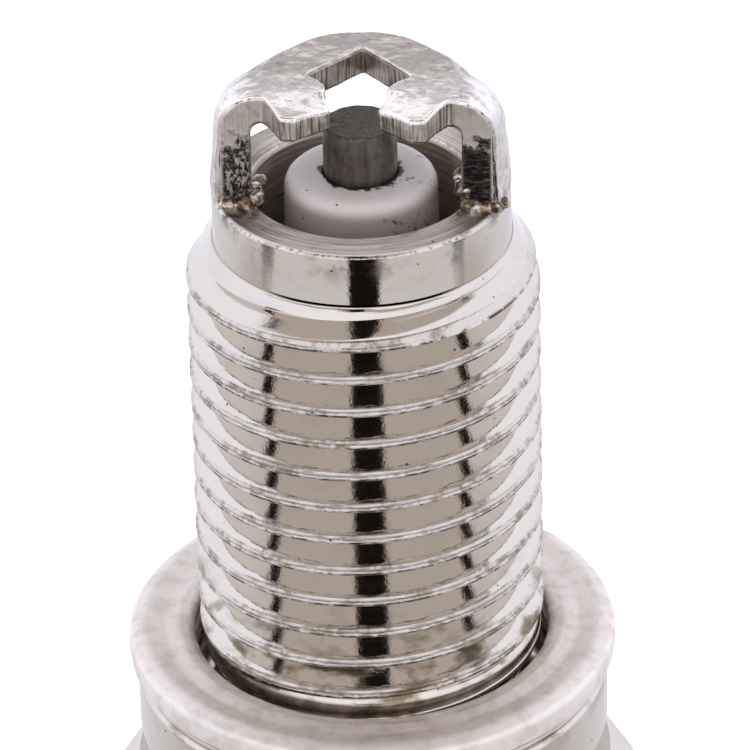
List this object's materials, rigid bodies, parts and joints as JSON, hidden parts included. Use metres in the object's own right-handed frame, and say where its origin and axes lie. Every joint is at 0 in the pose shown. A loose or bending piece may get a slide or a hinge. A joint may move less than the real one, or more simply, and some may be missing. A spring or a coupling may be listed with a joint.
{
  "type": "spark plug",
  "caption": "Threaded engine spark plug with a hexagon shell, ribbed ceramic insulator, folded sealing washer and a two-legged bridge electrode with an open diamond over the centre electrode.",
  "frame": {"origin": "on the plug's axis, in the plane of the shell's gasket seat", "axes": "+Z along the axis towards the firing end; +X towards the right leg of the bridge, seen from its open side"},
  "size_m": [0.0184, 0.017, 0.0736],
  "materials": {
    "nickel_plate": "bright nickel plate",
    "gasket_steel": "satin nickel plate",
    "nickel_alloy": "sheared and plated nickel alloy",
    "electrode_alloy": "dark heat-treated nickel alloy",
    "alumina": "fired alumina, glazed on the ribs",
    "copper": "drawn copper",
    "glass_seal": "metal-filled glass",
    "resistor_carbon": "carbon-filled glass",
    "stud_steel": "nickel plated steel",
    "packing_steel": "mild steel",
    "talc": "pressed powder"
  },
  "bodies": {
    "plug": {"metal_shell": "nickel_plate", "ground_electrode": "nickel_alloy", "insulator": "alumina", "center_electrode": "electrode_alloy", "copper_core": "copper", "lower_glass_seal": "glass_seal", "resistor": "resistor_carbon", "upper_glass_seal": "glass_seal", "terminal_stud": "stud_steel", "seat_packing_ring": "packing_steel", "lower_wire_ring": "packing_steel", "talc_filling": "talc", "upper_wire_ring": "packing_steel"},
    "gasket": {"sealing_gasket": "gasket_steel"},
    "nut": {"terminal_nut": "stud_steel"}
  },
  "joints": [
    {"name": "gasket_spin", "type": "hinge", "parent": "plug", "child": "gasket", "pos_m": [0, 0, 0.0008], "axis": [0, 0, 1], "continuous": true},
    {"name": "terminal_nut_lift", "type": "slide", "parent": "plug", "child": "nut", "axis": [0, 0, -1], "range_m": [0, 0.014]}
  ]
}
